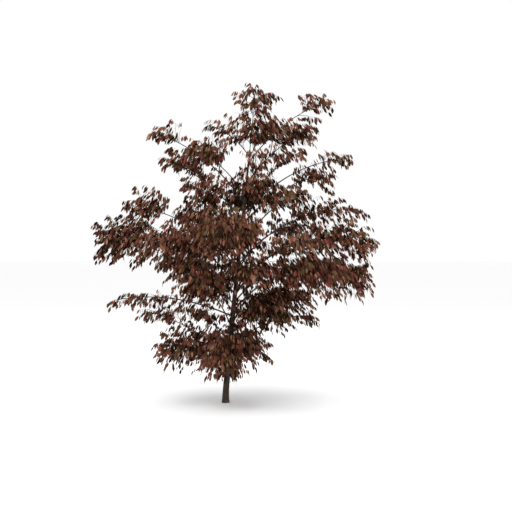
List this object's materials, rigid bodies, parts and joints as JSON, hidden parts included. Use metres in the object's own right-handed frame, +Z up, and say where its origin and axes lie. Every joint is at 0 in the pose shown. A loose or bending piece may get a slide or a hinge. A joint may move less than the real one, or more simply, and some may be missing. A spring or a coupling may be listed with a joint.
{
  "type": "burning bush plant",
  "caption": "Rooted burning bush in autumn leaf, grown as a small single-stemmed tree with arching boughs and drooping red-brown leaves.",
  "frame": {"origin": "middle of the flat cut under the trunk, at ground level", "axes": "+Z up, -Y towards the viewer of the picture, +X to the right of the picture"},
  "size_m": [2.7077, 2.2861, 2.9702],
  "materials": {
    "bark": "rough grey-brown bark",
    "foliage": "matt red-brown autumn leaves"
  },
  "bodies": {
    "root": {"trunk": "bark", "bough_back_left": "bark", "bough_back_mid_right": "bark", "bough_far_left": "bark", "bough_far_right": "bark", "bough_front_mid_right": "bark", "bough_high_left": "bark", "bough_high_right": "bark", "bough_inner_right": "bark", "bough_low_left": "bark", "bough_low_right": "bark", "bough_lower_right": "bark", "bough_mid_left": "bark", "bough_mid_right": "bark", "bough_top_right": "bark", "bough_upper_left": "bark", "bough_upper_right": "bark", "foliage_back_left": "foliage", "foliage_back_low": "foliage", "foliage_back_low_right": "foliage", "foliage_back_mid": "foliage", "foliage_back_mid_left": "foliage", "foliage_back_mid_right": "foliage", "foliage_back_upper": "foliage", "foliage_crown_back": "foliage", "foliage_crown_front": "foliage", "foliage_crown_left": "foliage", "foliage_crown_right": "foliage", "foliage_far_left": "foliage", "foliage_far_right": "foliage", "foliage_front_left": "foliage", "foliage_front_low": "foliage", "foliage_front_low_left": "foliage", "foliage_front_low_right": "foliage", "foliage_front_mid": "foliage", "foliage_front_mid_right": "foliage", "foliage_front_upper": "foliage", "foliage_front_upper_left": "foliage", "foliage_front_upper_right": "foliage", "foliage_high_left": "foliage", "foliage_high_right": "foliage", "foliage_inner_left": "foliage", "foliage_inner_right": "foliage", "foliage_leader": "foliage", "foliage_low_left": "foliage", "foliage_low_mid": "foliage", "foliage_low_right": "foliage", "foliage_lower_left": "foliage", "foliage_lower_right": "foliage", "foliage_mid_left": "foliage", "foliage_mid_right": "foliage", "foliage_shoulder_right": "foliage", "foliage_skirt_back": "foliage", "foliage_skirt_front": "foliage", "foliage_skirt_left": "foliage", "foliage_skirt_right": "foliage", "foliage_top_right": "foliage", "foliage_upper_left": "foliage", "foliage_upper_right": "foliage"}
  },
  "joints": []
}
